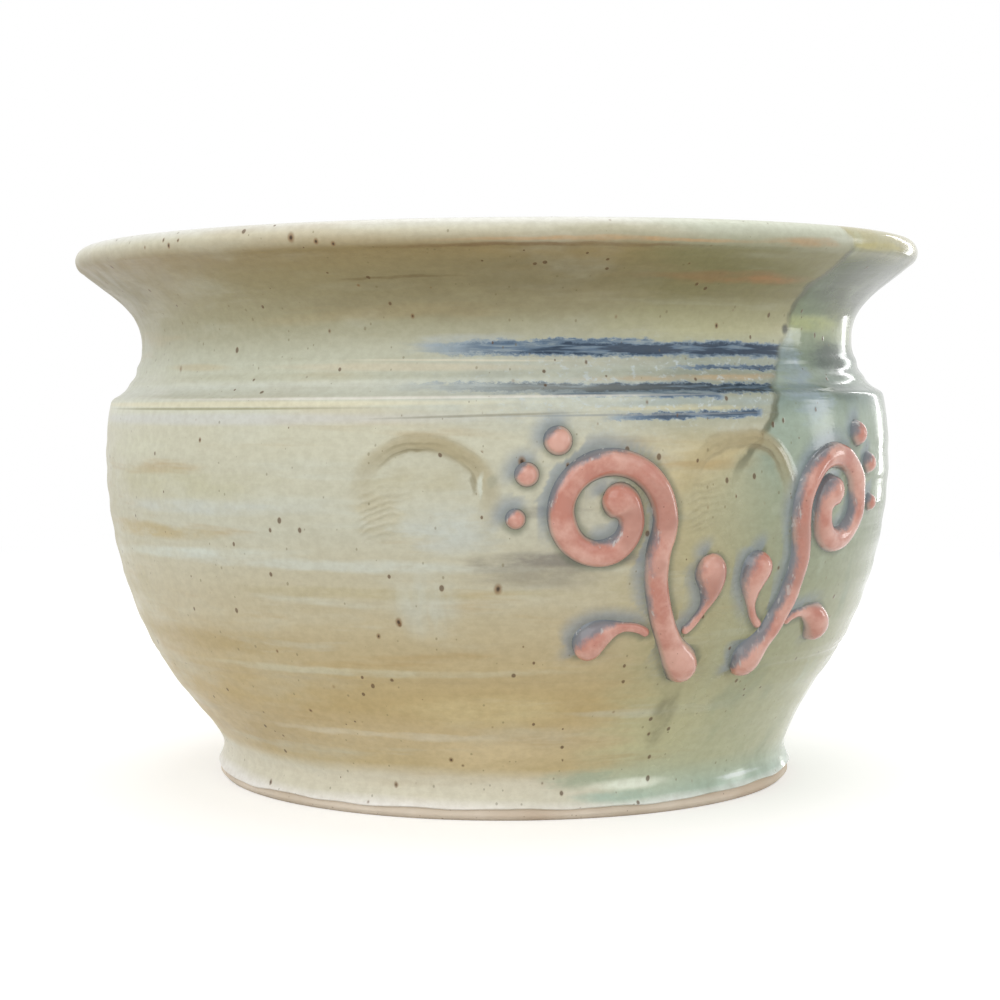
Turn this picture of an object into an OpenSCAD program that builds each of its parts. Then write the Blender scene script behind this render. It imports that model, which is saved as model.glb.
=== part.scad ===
// Wheel-thrown stoneware cachepot: a full belly on a turned foot, a drawn-in neck and a
// flared rim with a rolled lip. The clay is glazed inside and out and left bare at the foot.
// The belly has two pressed shells, and sprigs of raised slip that is trailed over the glaze.
// Millimetres, +Z up, origin at the centre of the foot's underside, front towards -Y.

/* [Foot] */
// Diameter of the foot just above the table
foot_d = 165; // [156:1:172]
// Small bevel that takes the sharp edge off the foot
foot_bevel = 1.2; // [0.8:0.1:2]
// Width of the ring that the pot stands on
foot_ring_w = 12; // [8:0.5:18]
// Depth of the turned hollow inside the foot ring
foot_hollow = 3; // [1.5:0.5:4]
// Diameter of the narrow waist above the foot
waist_d = 162; // [152:0.2:166]
// Height of the waist
waist_z = 8.6; // [7:0.2:11]

/* [Body] */
// Diameter at the thrown crease low on the wall
crease_d = 196.8; // [190:0.2:203]
// Height of the thrown crease
crease_z = 37.5; // [33:0.5:42]
// Depth of the thrown crease
crease_cut = 0.35; // [0:0.05:0.6]
// Slope of the wall at the crease, measured from upright
crease_lean = 29.5; // [25:0.5:34]
// Diameter of the belly at its widest
belly_d = 223.4; // [216:0.2:232]
// Height of the widest part of the belly
belly_z = 91; // [84:1:96]
// Diameter at the sharp edge of the shoulder
shoulder_d = 220.6; // [214:0.2:226]
// Height of the shoulder's edge
shoulder_z = 107; // [102:0.5:110]
// Depth of the finger rings left by throwing
ring_depth = 0.22; // [0:0.02:0.4]
// Height from one finger ring to the next
ring_pitch = 9.2; // [7:0.2:14]

/* [Neck and rim] */
// Diameter at the narrowest part of the neck
neck_d = 202.6; // [194:0.2:208]
// Height of the narrowest part of the neck
neck_z = 123.5; // [120:0.5:127]
// Height by which the two fine cordons stand proud of the neck
cordon_h = 0.45; // [0:0.05:0.8]
// Diameter over the rolled lip
lip_d = 239; // [228:1:248]
// Thickness of the rolled lip
lip_t = 6.2; // [5:0.2:8]
// Height of the clay from the table to the top of the lip
height = 150; // [146:1:158]
// Slope of the flared rim where it meets the lip, measured from upright
rim_lean = 50; // [42:1:56]

/* [Walls] */
// Thickness of the wall at the belly and the neck
wall_t = 6.4; // [5:0.2:8]
// Thickness of the wall low down, where a thrown pot is heaviest
base_wall_t = 7.6; // [6.4:0.2:9]
// Thickness of the clay floor
floor_t = 7; // [5:0.5:9]
// Radius of the flat part of the floor inside
floor_flat_r = 58; // [45:1:64]

/* [Glaze] */
// Thickness of the fired glaze coat
glaze_t = 0.5; // [0.3:0.1:0.8]
// Height of the line where the glaze stops above the bare foot
glaze_line_z = 3.6; // [2.6:0.2:6]

/* [Pressed shells] */
// Direction of the first shell round the pot, in degrees right of the front
press_turn = -9.8; // [-40:0.2:-9]
// Height of the shells' middle
press_z = 82; // [76:1:86]
// Depth of a shell below the wall
press_depth = 2; // [1.2:0.2:2.6]
// Radius of the round tool that pressed a shell
press_tool_r = 46; // [36:1:52]
// Radius of the raised brow round the top of a shell
brow_r = 13.6; // [12.6:0.2:15]
// Thickness of the raised brow
brow_t = 3.4; // [2.8:0.2:4.2]
// Height by which the middle of the brow stands proud of the wall
brow_h = 0.9; // [0.6:0.1:1.2]
// Angle that the brow runs round the shell
brow_sweep = 144; // [110:2:160]
// Number of short flutes that fan out at the left of a shell
flutes = 5; // [3:1:6]
// Width of the tool that drew a flute
flute_w = 3; // [2.4:0.2:3.6]
// Depth of a flute
flute_cut = 0.6; // [0.3:0.1:0.9]

/* [Slip sprigs] */
// Direction of the first sprig's curl, in degrees right of the front
sprig_turn = 13.5; // [12:0.5:18]
// Angle from one sprig to the next, which faces it like its mirror image
sprig_step = 38; // [37:0.5:42]
// Height of the curls' middle
curl_z = 79; // [77:0.5:82]
// Radius of a curl where the stem runs into it
curl_r = 16; // [15:0.25:16.5]
// Radius at which a curl ends, inside
curl_end_r = 5.2; // [5:0.1:5.8]
// Angle that a curl winds through
curl_sweep = 430; // [390:5:445]
// Distance that a stem starts to the side of its curl's middle
stem_side = 26; // [23:0.5:28]
// Distance that a stem starts below its curl's middle
stem_drop = 38; // [34:0.5:40]
// Width of the trailed stem
bead_w = 6.4; // [5.4:0.2:7]
// Width of the drop at the foot of a stem
stem_foot_w = 9; // [8:0.25:10]
// Width of the ball at the end of a curl
ball_w = 8.8; // [7.4:0.2:9.4]
// Length of a leaf, from the middle of its head to its tip
leaf_len = 15.5; // [13:0.5:17]
// Width of a leaf's round head
leaf_head_w = 8.8; // [7.6:0.2:9.6]
// Width of a leaf's tip
leaf_tip_w = 2.4; // [1.8:0.2:3.2]
// Width of the largest dot outside a curl
dot_w = 6.4; // [5.4:0.2:7.4]
// Distance from the curl's middle to the dots outside it
dot_reach = 22; // [20.5:0.5:24]
// Height of raised slip as a share of its width
slip_rise = 0.44; // [0.36:0.02:0.52]
// Clearance that keeps the underside of the slip just off the glaze
slip_seat = 0.05; // [0.03:0.01:0.1]

/* [Hidden] */
sprigs = 2;
dots_each = 3;                                         // dots in a row outside each curl

clay_colour = [0.79, 0.70, 0.62];
glaze_colour = [0.78, 0.77, 0.66];
liner_colour = [0.86, 0.87, 0.80];
slip_colour = [0.84, 0.54, 0.46];

foot_r = foot_d / 2;
waist_r = waist_d / 2;
crease_r = crease_d / 2;
belly_r = belly_d / 2;
shoulder_r = shoulder_d / 2;
neck_r = neck_d / 2;
lip_c = [lip_d / 2 - lip_t / 2, height - lip_t / 2];   // middle of the lip's round section
floor_z = foot_hollow + floor_t;
past = 1;                                              // how far a cutter runs past a face
turns = 180;                                           // facets round the pot

// A unit vector that leans from upright towards the outside
function lean(a) = [sin(a), cos(a)];
upright = lean(0);

// Points on a cubic curve from p to q, which leaves along u and arrives along v; q is left out.
// u and v are shares of the straight distance, so the curve keeps its form when a size changes
function span(p, u, q, v, n) = let (d = norm(q - p)) [for (i = [0 : n - 1]) let (t = i / n)
    (2 * t^3 - 3 * t^2 + 1) * p + (t^3 - 2 * t^2 + t) * d * u
    + (3 * t^2 - 2 * t^3) * q + (t^3 - t^2) * d * v];

// Points on an arc about c, ends included
function arc(c, r, from, to, n) = [for (i = [0 : n]) let (a = from + (to - from) * i / n)
    c + r * [cos(a), sin(a)]];

// 0 below a, 1 above b, and a smooth ramp between them
function ramp(z, a, b) = let (t = min(1, max(0, (z - a) / (b - a)))) t * t * (3 - 2 * t);

// A narrow hump of height 1 at z = 0
function hump(z, w) = exp(-(z / w)^2);

// The outline moved d to the right of its own direction
function moved(pts, d) = [for (i = [0 : len(pts) - 1])
    let (t = pts[min(i + 1, len(pts) - 1)] - pts[max(i - 1, 0)]) pts[i] + d * [t[1], -t[0]] / norm(t)];

// The thrown crease, and finger rings that fade out towards the waist and the shoulder
crease_w = 0.8;
function thrown(p) = p + [ring_depth * sin(360 * (p[1] - crease_z) / ring_pitch)
    * ramp(p[1], waist_z + 0.4 * ring_pitch, waist_z + 1.5 * ring_pitch)
    * (1 - ramp(p[1], shoulder_z - 1.3 * ring_pitch, shoulder_z - 0.4 * ring_pitch))
    - crease_cut * hump(p[1] - crease_z, crease_w), 0];

// Two fine cordons between the shoulder and the neck
cordon_w = 1.3;
cordons = [for (share = [0.36, 0.62]) shoulder_z + share * (neck_z - shoulder_z)];
function corded(p) = p
    + [cordon_h * (hump(p[1] - cordons[0], cordon_w) + hump(p[1] - cordons[1], cordon_w)), 0];

// The outside of the clay, from the table up to the crest of the lip
shoulder_lean = -12;                                   // the wall's slope as it reaches the shoulder
neck_lean = -64;                                       // the slope just over the shoulder's edge
shoulder_round = 1.6;                                  // how far the shoulder's edge is rounded
over_shoulder = [shoulder_r, shoulder_z] + shoulder_round * [-0.94, 1];
lip_from = -64;                                        // where the flare meets the lip's round section
outside_foot = concat([[foot_r - foot_bevel, 0]],
    span([foot_r, foot_bevel], 0.8 * upright, [waist_r, waist_z], 0.66 * upright, 8));
outside_body = [for (p = concat(
    span([waist_r, waist_z], 0.5 * upright, [crease_r, crease_z], 0.94 * lean(crease_lean), 28),
    span([crease_r, crease_z], 0.92 * lean(crease_lean), [belly_r, belly_z], 0.99 * upright, 52),
    span([belly_r, belly_z], upright, [shoulder_r, shoulder_z], 0.93 * lean(shoulder_lean), 14))) thrown(p)];
outside_neck = [for (p = concat(
    span([shoulder_r, shoulder_z], 1.2 * lean(shoulder_lean), over_shoulder, 1.2 * lean(neck_lean), 4),
    span(over_shoulder, 0.96 * lean(neck_lean), [neck_r, neck_z], 1.08 * upright, 28))) corded(p)];
outside_rim = span([neck_r, neck_z], 1.17 * upright, lip_c + lip_t / 2 * [cos(lip_from), sin(lip_from)],
    1.14 * lean(rim_lean), 20);
outside_line = concat(outside_foot, outside_body, outside_neck, outside_rim,
    arc(lip_c, lip_t / 2, lip_from, 90, 16));

// The inside of the clay, from the crest of the lip down to the middle of the floor
lip_to = 90 + rim_lean;                                // where the lip's round section runs into the flare
neck_in = [neck_r - wall_t, neck_z];
belly_in = [belly_r - wall_t, belly_z - wall_t / 2];
crease_in = [crease_r, crease_z] - base_wall_t * [cos(crease_lean), -sin(crease_lean)];
floor_in = [floor_flat_r, floor_z];
inside_line = concat(
    arc(lip_c, lip_t / 2, 90, lip_to - 2, 5),
    span(lip_c + lip_t / 2 * [cos(lip_to), sin(lip_to)], -0.75 * lean(rim_lean),
        neck_in, -0.82 * upright, 18),
    span(neck_in, -0.65 * upright, belly_in, -0.65 * upright, 16),
    span(belly_in, -0.96 * upright, crease_in, -0.96 * lean(crease_lean), 26),
    span(crease_in, -0.58 * lean(crease_lean), floor_in, [-0.76, 0], 18),
    [floor_in, [0, floor_z]]);

// The same lines over the glaze
outside_skin = moved(outside_line, glaze_t);
inside_skin = [for (p = moved(inside_line, glaze_t)) [max(0, p[0]), p[1]]];

// Radius and slope over the glaze at a height on the belly, from the body's own outline
belly_table = [for (p = moved(outside_body, glaze_t)) [p[1], p[0]]];
function skin_r(z) = lookup(z, belly_table);
function skin_slope(z) = (skin_r(z + 1) - skin_r(z - 1)) / 2;

// A point over the glaze: s is the distance round the belly from the front, h the height above the glaze
function on_skin(s, z, h) = let (a = s / belly_r * 180 / PI,
    n = [1, -skin_slope(z)] / norm([1, skin_slope(z)]),
    r = skin_r(z) + n[0] * h)
    [r * sin(a), -r * cos(a), z + n[1] * h];

// Puts its children on the wall with Z outwards and Y up, their origin at a depth below the clay
module at_press(turn, depth) {
    rotate([0, 0, turn])
        translate([0, -(skin_r(press_z) - glaze_t), press_z])
            rotate([90 + atan(skin_slope(press_z)), 0, 0])
                translate([0, 0, -depth]) children();
}

// How far the round wall has fallen away at a distance from the middle of a shell
function fall(r) = belly_r - sqrt(belly_r^2 - r^2);

// The first shell lies left of the sprigs, the others between two of them
press_turns = [press_turn, for (i = [1 : sprigs - 1]) sprig_turn + (i - 0.5) * sprig_step];

// A shell is a shallow bowl with a fan of short flutes. A skin makes each cut that much narrower
flute_from = 8;                                        // distance from a shell's middle to its flutes
flute_to = 14.5;
flute_fan = [158, 222];                                // directions of the first and the last flute
module press_cuts(skin) {
    for (turn = press_turns) {
        at_press(turn, press_depth)
            translate([0, 0, press_tool_r]) sphere(r = press_tool_r - skin, $fn = 96);
        for (i = [0 : flutes - 1]) let (mid = (flute_from + flute_to) / 2)
            at_press(turn, fall(mid) + flute_cut - flute_w / 2)
                rotate([0, 0, flute_fan[0] + (flute_fan[1] - flute_fan[0]) * i / (flutes - 1)])
                    translate([mid, 0, 0]) rotate([0, 90 + asin(mid / belly_r), 0])
                        cylinder(r = flute_w / 2 - skin, h = flute_to - flute_from, center = true, $fn = 48);
    }
}

// The brow is an arc of a ring, tipped so that its middle stands proud and its ends sink in
brow_dip = 7;                                          // degrees that the ring is tipped
brow_mid = 78;                                         // direction of the brow's middle
module press_brows(skin) {
    for (turn = press_turns)
        at_press(turn, fall(brow_r) + brow_t / 2 - brow_h + brow_r * sin(brow_dip))
            rotate([0, 0, brow_mid - 90]) rotate([brow_dip, 0, 0])
                rotate([0, 0, 90 - brow_sweep / 2]) rotate_extrude(angle = brow_sweep, $fn = 96)
                    translate([brow_r, 0]) circle(r = brow_t / 2 + skin, $fn = 48);
}

// The whole pot's outside as a filled form, under a skin of the given thickness
module filled(skin) {
    difference() {
        union() {
            rotate_extrude($fn = turns)
                polygon(concat([[0, 0]], moved(outside_line, skin), [[0, height + skin]]));
            press_brows(skin);
        }
        press_cuts(skin);
    }
}

module clay_body() {
    color(clay_colour) difference() {
        filled(0);
        rotate_extrude($fn = turns)
            polygon(concat([[0, height + past], [lip_c[0], height + past]], inside_line));
        translate([0, 0, -past]) cylinder(r = foot_r - foot_ring_w, h = foot_hollow + past, $fn = turns);
    }
}

module outside_glaze() {
    color(glaze_colour) difference() {
        filled(glaze_t);
        filled(0);
        translate([0, 0, -past]) cylinder(r = belly_r, h = glaze_line_z + past, $fn = turns);
        translate([0, 0, height - past]) cylinder(r = lip_c[0], h = glaze_t + 2 * past, $fn = turns);
    }
}

module inside_glaze() {
    color(liner_colour) rotate_extrude($fn = turns)
        polygon(concat(inside_line, [for (i = [len(inside_skin) - 1 : -1 : 0]) inside_skin[i]]));
}

// A sprig's lines are drawn on the unrolled belly, from the middle of its curl.
// The stem sways to the left and winds up anticlockwise
function aim(a) = [cos(a), sin(a)];
curl_from = -20;                                       // where the stem runs into the curl
function curl_at(t) = (curl_r + (curl_end_r - curl_r) * t) * aim(curl_from + curl_sweep * t);
stem = span([stem_side, -stem_drop], 0.9 * aim(140), curl_at(0), 0.96 * aim(curl_from + 90), 20);
curl_steps = 52;
curl_line = concat(stem, [for (i = [0 : curl_steps]) curl_at(i / curl_steps)]);

// A leaf's tip lies beside the stem, -1 for the left and 1 for the right. Its bent body runs out to
// a round head, so that the left leaf hangs and the right one stands
leaf_root = 7;                                         // step of the stem that the leaves grow from
leaf_gap = 1.6;                                        // bare glaze between the stem and a leaf's tip
leaf_bend = 40;
function leaf_turn(side) = side < 0 ? 188 : 72;
function leaf_tip(side) = stem[leaf_root] + [side * (bead_w / 2 + leaf_gap + leaf_tip_w / 2), 0];
function leaf_head(side) = leaf_tip(side) + leaf_len * aim(leaf_turn(side));
function leaf_line(side) = let (back = leaf_turn(side) + 180) concat(
    span(leaf_head(side), aim(back + leaf_bend), leaf_tip(side), aim(back - leaf_bend), 14),
    [leaf_tip(side)]);

// The dots stand outside the curl, each smaller than the one above it
dots_from = 122;
dots_step = 29;
dot_share = 0.84;
function dot_at(k) = dot_reach * aim(dots_from + k * dots_step);

// How far along the line each point lies
function lengths(line, i = 0, sum = 0) = i >= len(line) ? [] :
    let (s = i == 0 ? 0 : sum + norm(line[i] - line[i - 1])) concat([s], lengths(line, i + 1, s));

// Rounds off an end that is w wide; s is the distance from its tip
function nose(s, w) = s < w / 2 ? sqrt(max(0, 1 - (1 - 2 * s / w)^2)) : 1;

// Half the width of a bead at distance s from its start. It goes from w0 to w over the length l0,
// and from w to w1 over the last l1
function bead_half(s, full, w0, l0, w, l1, w1) = nose(s, w0) * nose(full - s, w1) / 2
    * (w + (w0 - w) * (1 - ramp(s, w0 / 2, l0)) + (w1 - w) * (1 - ramp(full - s, w1 / 2, l1)));

// The line with both ends carried on by half their width, in steps that make them come out round
nose_steps = [1, 0.94, 0.82, 0.66, 0.46, 0.24];
function noses(line, w0, w1) = let (n = len(line) - 1, u = line[0] - line[1], v = line[n] - line[n - 1])
    concat([for (t = nose_steps) line[0] + t * w0 / 2 * u / norm(u)], line,
        [for (i = [len(nose_steps) - 1 : -1 : 0]) line[n] + nose_steps[i] * w1 / 2 * v / norm(v)]);

// A closed skin from one tip over a row of rings to the other tip
module lofted(tip0, rings, tip1) {
    m = len(rings[0]);
    far = 1 + (len(rings) - 1) * m;                    // where the last ring starts
    walls = [for (i = [0 : len(rings) - 2], k = [0 : m - 1])
        let (a = 1 + i * m + k, b = 1 + i * m + (k + 1) % m)
        each [[a, b, a + m], [b, b + m, a + m]]];
    ends = [for (k = [0 : m - 1]) each [[0, 1 + (k + 1) % m, 1 + k], [far + m, far + k, far + (k + 1) % m]]];
    polyhedron(concat([tip0], [for (r = rings) each r], [tip1]), concat(walls, ends));
}

// A point over the glaze from the middle of a sprig's curl
function on_sprig(turn, p, h) = on_skin(turn * PI / 180 * belly_r + p[0], curl_z + p[1], slip_seat + h);

// A bead of slip along a line: an arched top, and an underside that follows the glaze
arch_steps = 10;
under_steps = 4;
module bead(trail, turn, w0, l0, w, l1, w1) {
    line = noses(trail, w0, w1);
    s = lengths(line);
    n = len(line);
    function ring(i) = let (
        t = line[i + 1] - line[i - 1],
        side = [t[1], -t[0]] / norm(t),
        half = bead_half(s[i], s[n - 1], w0, l0, w, l1, w1))
        [for (k = [0 : arch_steps + under_steps - 1]) let (
            over = k <= arch_steps,
            across = over ? cos(180 * k / arch_steps) : -1 + 2 * (k - arch_steps) / under_steps,
            rise = over ? sin(180 * k / arch_steps) : 0)
            on_sprig(turn, line[i] + half * across * side, 2 * half * slip_rise * rise)];
    lofted(on_sprig(turn, line[0], 0), [for (i = [1 : n - 2]) ring(i)], on_sprig(turn, line[n - 1], 0));
}

// A round dot of slip
dome_steps = 5;
dome_sides = 24;
module dome(p, turn, w) {
    lofted(on_sprig(turn, p, 0), [for (j = [0 : dome_steps - 1]) [for (k = [0 : dome_sides - 1])
        let (up = 90 * j / dome_steps, a = -360 * k / dome_sides)
            on_sprig(turn, p + w / 2 * cos(up) * [cos(a), sin(a)], w * slip_rise * sin(up))]],
        on_sprig(turn, p, w * slip_rise));
}

// Every other sprig is turned over, so that two of them stand face to face
function sprig_at(i) = sprig_turn + i * sprig_step;
function facing(i, p) = [i % 2 == 0 ? p[0] : -p[0], p[1]];

module slip_curl(i) {
    color(slip_colour) bead([for (p = curl_line) facing(i, p)], sprig_at(i),
        stem_foot_w, 1.4 * stem_foot_w, bead_w, 1.2 * ball_w, ball_w);
}

module slip_leaf(i, side) {
    color(slip_colour) bead([for (p = leaf_line(side)) facing(i, p)], sprig_at(i),
        leaf_head_w, leaf_len, leaf_tip_w, leaf_tip_w, leaf_tip_w);
}

module slip_dot(i, k) {
    color(slip_colour) dome(facing(i, dot_at(k)), sprig_at(i), dot_w * dot_share^k);
}

clay_body();
outside_glaze();
inside_glaze();
for (i = [0 : sprigs - 1]) {
    slip_curl(i);
    slip_leaf(i, -1);
    slip_leaf(i, 1);
    for (k = [0 : dots_each - 1])
        slip_dot(i, k);
}
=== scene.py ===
import bisect
import math

import bmesh
import bpy
from mathutils import Matrix, Vector, kdtree, noise


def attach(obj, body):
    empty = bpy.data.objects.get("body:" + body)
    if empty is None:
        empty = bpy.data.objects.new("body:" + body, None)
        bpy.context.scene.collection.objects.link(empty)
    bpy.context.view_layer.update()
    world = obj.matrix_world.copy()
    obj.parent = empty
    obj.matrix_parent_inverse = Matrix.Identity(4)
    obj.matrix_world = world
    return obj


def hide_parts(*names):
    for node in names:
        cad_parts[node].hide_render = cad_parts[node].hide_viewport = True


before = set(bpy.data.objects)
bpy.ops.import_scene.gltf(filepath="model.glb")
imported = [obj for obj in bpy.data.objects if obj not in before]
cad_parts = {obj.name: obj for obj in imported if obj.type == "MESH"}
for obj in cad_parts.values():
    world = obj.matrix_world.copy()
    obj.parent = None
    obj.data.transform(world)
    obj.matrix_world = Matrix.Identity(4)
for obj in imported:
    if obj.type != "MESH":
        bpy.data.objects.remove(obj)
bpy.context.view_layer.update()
print("frame loaded:", len(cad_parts), "nodes")


# Outline of the thrown pot
pot = {
    "footRadius": 0.0825,
    "footBevel": 0.0012,
    "footRingWidth": 0.012,
    "footHollow": 0.003,
    "waistRadius": 0.081,
    "waistHeight": 0.0086,
    "creaseRadius": 0.0984,
    "creaseHeight": 0.0375,
    "creaseLean": 29.5,  # degrees from upright
    "bellyRadius": 0.1117,
    "bellyHeight": 0.091,
    "shoulderRadius": 0.1103,
    "shoulderHeight": 0.107,
    "shoulderRound": 0.0016,
    "neckRadius": 0.1013,
    "neckHeight": 0.1235,
    "lipRadius": 0.1195,
    "lipThickness": 0.0062,
    "height": 0.150,
    "rimLean": 50,
    "wall": 0.0064,
    "baseWall": 0.0076,
    "floor": 0.007,
    "floorFlat": 0.058,
    "glaze": 0.0005,
    "glazeLine": 0.0031,
}


def lean(degrees):
    return Vector((math.sin(math.radians(degrees)), math.cos(math.radians(degrees))))


upright = lean(0)


def curve(p, u, q, v, count):
    # cubic from p to q, which is left out; u and v are pulls as shares of the straight distance
    reach = (q - p).length
    points = []
    for i in range(count):
        t = i / count
        ends = (2 * t**3 - 3 * t**2 + 1) * p + (3 * t**2 - 2 * t**3) * q
        points.append(ends + reach * ((t**3 - 2 * t**2 + t) * u + (t**3 - t**2) * v))
    return points


def arc(centre, radius, first, last, count):
    turns = [math.radians(first + (last - first) * i / count) for i in range(count + 1)]
    return [centre + radius * Vector((math.cos(a), math.sin(a))) for a in turns]


def offset(points, distance):
    # the outline moved to the right of its own direction
    moved = []
    for i, p in enumerate(points):
        along = points[min(i + 1, len(points) - 1)] - points[max(i - 1, 0)]
        moved.append(p + distance * Vector((along.y, -along.x)).normalized())
    return moved


lipRound = pot["lipThickness"] / 2
lipCentre = Vector((pot["lipRadius"] - lipRound, pot["height"] - lipRound))
crease = Vector((pot["creaseRadius"], pot["creaseHeight"]))
shoulder = Vector((pot["shoulderRadius"], pot["shoulderHeight"]))
overShoulder = shoulder + pot["shoulderRound"] * Vector((-0.94, 1))
neck = Vector((pot["neckRadius"], pot["neckHeight"]))
lipFrom = -64  # where the flare runs into the lip's round section


def outsideLine():
    waist = Vector((pot["waistRadius"], pot["waistHeight"]))
    belly = Vector((pot["bellyRadius"], pot["bellyHeight"]))
    creaseRun = lean(pot["creaseLean"])
    foot = Vector((pot["footRadius"], pot["footBevel"]))
    line = [Vector((pot["footRadius"] - pot["footBevel"], 0))]
    line += curve(foot, 0.8 * upright, waist, 0.66 * upright, 14)
    line += curve(waist, 0.5 * upright, crease, 0.94 * creaseRun, 30)
    line += curve(crease, 0.92 * creaseRun, belly, 0.99 * upright, 72)
    line += curve(belly, upright, shoulder, 0.93 * lean(-12), 18)
    line += curve(shoulder, 1.2 * lean(-12), overShoulder, 1.2 * lean(-64), 5)
    line += curve(overShoulder, 0.96 * lean(-64), neck, 1.08 * upright, 30)
    lipStart = arc(lipCentre, lipRound, lipFrom, 90, 1)[0]
    line += curve(neck, 1.17 * upright, lipStart, 1.14 * lean(pot["rimLean"]), 22)
    return line + arc(lipCentre, lipRound, lipFrom, 90, 16)


def insideLine():
    lipTo = 90 + pot["rimLean"]
    lipEnd = arc(lipCentre, lipRound, lipTo, lipTo + 1, 1)[0]
    neckIn = neck - Vector((pot["wall"], 0))
    bellyIn = Vector((pot["bellyRadius"] - pot["wall"], pot["bellyHeight"] - pot["wall"] / 2))
    run = lean(pot["creaseLean"])
    creaseIn = crease - pot["baseWall"] * Vector((run.y, -run.x))
    floorIn = Vector((pot["floorFlat"], pot["footHollow"] + pot["floor"]))
    line = arc(lipCentre, lipRound, 90, lipTo - 2, 6)
    line += curve(lipEnd, -0.75 * lean(pot["rimLean"]), neckIn, -0.82 * upright, 18)
    line += curve(neckIn, -0.65 * upright, bellyIn, -0.65 * upright, 18)
    line += curve(bellyIn, -0.96 * upright, creaseIn, -0.96 * run, 26)
    line += curve(creaseIn, -0.58 * run, floorIn, Vector((-0.76, 0)), 18)
    flat = [floorIn.lerp(Vector((0, floorIn.y)), i / 12) for i in range(13)]
    return line + flat


# What the hand left in the clay
thrown = {
    "ringDepth": 0.00011,  # finger rings of the belly
    "ringPitch": 0.0092,
    "fineRing": 0.00007,
    "creaseCut": 0.00042,
    "cordons": (0.1129, 0.1172),
    "cordonHeight": 0.00042,
    "insideRing": 0.0005,
    "coatWander": 0.0011,  # of the glaze's lower edge
    "footShift": 0.0006,  # the pot leans a little to the left of its foot
    "bodyShift": -0.0009,
    "rimShift": -0.0016,
    "tilt": 0.0105,  # its right side stands higher, in radians
}
presses = {
    "turns": (-9.8, 32.5),  # degrees right of the front
    "height": 0.0835,
    "reach": 0.0150,  # radius of the bowl
    "squat": 0.84,  # its height as a share of its width
    "lit": 66,  # direction of its sharpest edge, in degrees from its right
    "edge": 0.0014,  # how wide its edge is where it is sharpest
    "softening": 0.0075,  # and how much wider on the far side
    "depth": 0.0016,
    "brow": 0.0007,
    "ledges": (-0.3, 1.7, 3.9),  # fine ledges at the bowl's edge and outside it, in millimetres
    "ledgeRise": 0.16,
    "fluteCut": 0.10,
    "fluteStep": 2.3,
}


def ramp(value, low, high):
    t = min(1.0, max(0.0, (value - low) / (high - low)))
    return t * t * (3 - 2 * t)


def hump(value, width):
    return math.exp(-((value / width) ** 2))


def shift(z):
    # sideways place of the pot's middle at a height
    low, mid, high = thrown["footShift"], thrown["bodyShift"], thrown["rimShift"]
    return low + (mid - low) * ramp(z, 0.009, 0.028) + (high - mid) * ramp(z, 0.028, 0.14)


def settle(co):
    # from a true round pot to the leaning one
    x = co.x + shift(co.z)
    return Vector((x, co.y, co.z + thrown["tilt"] * x * ramp(co.z, 0.010, 0.030)))


def pressRelief(angle, z):
    # a pressed shell: a bowl with a soft brow above and to the right, and no edge below
    relief = 0.0
    for turn in presses["turns"]:
        s = (angle - math.radians(turn)) * pot["bellyRadius"]
        t = (z - presses["height"]) / presses["squat"]
        rho = math.hypot(s, t)
        if rho > 1.7 * presses["reach"]:
            continue
        direction = math.degrees(math.atan2(t, s))
        sharp = 0.5 + 0.5 * math.cos(math.radians(direction - presses["lit"]))
        edge = presses["edge"] + presses["softening"] * (1 - sharp) ** 1.5
        inside = 1 - ramp(rho, presses["reach"] - edge, presses["reach"] + 0.7 * edge)
        relief -= presses["depth"] * inside * (0.5 + 0.5 * sharp - 0.3 * (rho / presses["reach"]) ** 2)
        relief += presses["brow"] * sharp**2 * hump(rho - presses["reach"] - 0.0020, 0.0020)
    return relief


def wallRelief(angle, z):
    # how far the outside wall stands off its smooth outline, presses apart
    around = Vector((math.sin(angle), -math.cos(angle), 0))
    wave = noise.noise(around * 1.4 + Vector((0, 0, z * 25)))
    drift = noise.noise(around * 0.8 + Vector((0, 0, 7.0)))
    body = ramp(z, 0.012, 0.023) * (1 - ramp(z, 0.095, 0.103))
    phase = 2 * math.pi * (z - pot["creaseHeight"]) / thrown["ringPitch"]
    relief = thrown["ringDepth"] * math.sin(phase + 2.2 * wave) * body
    relief += thrown["fineRing"] * noise.noise(around * 2.0 + Vector((0, 0, z * 520)))
    mark = z - pot["creaseHeight"] - 0.0006 * drift
    relief -= thrown["creaseCut"] * (hump(mark, 0.0006) + 0.5 * hump(mark - 0.0017, 0.0005))
    for level in thrown["cordons"]:
        relief += thrown["cordonHeight"] * hump(z - level - 0.0004 * drift, 0.0012)
    return relief


outsideSkin = offset(outsideLine(), pot["glaze"])
bellyTable = sorted((p.y, p.x) for p in outsideSkin if 0.01 < p.y < 0.107)
bellyHeights = [row[0] for row in bellyTable]


def skinRadius(z):
    # radius over the glaze on the foot and the belly
    k = min(max(bisect.bisect(bellyHeights, z), 1), len(bellyTable) - 1)
    (z0, r0), (z1, r1) = bellyTable[k - 1], bellyTable[k]
    return r0 + (r1 - r0) * (z - z0) / (z1 - z0)


def onWall(s, z, h):
    # a point over the glaze: s is the way round the belly from the front, h the height over the glaze
    angle = s / pot["bellyRadius"]
    slope = (skinRadius(z + 0.001) - skinRadius(z - 0.001)) / 0.002
    out = Vector((1, -slope)).normalized()
    r = skinRadius(z) + wallRelief(angle, z) + pressRelief(angle, z) + out.x * h
    return settle(Vector((r * math.sin(angle), -r * math.cos(angle), z + out.y * h)))


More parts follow.
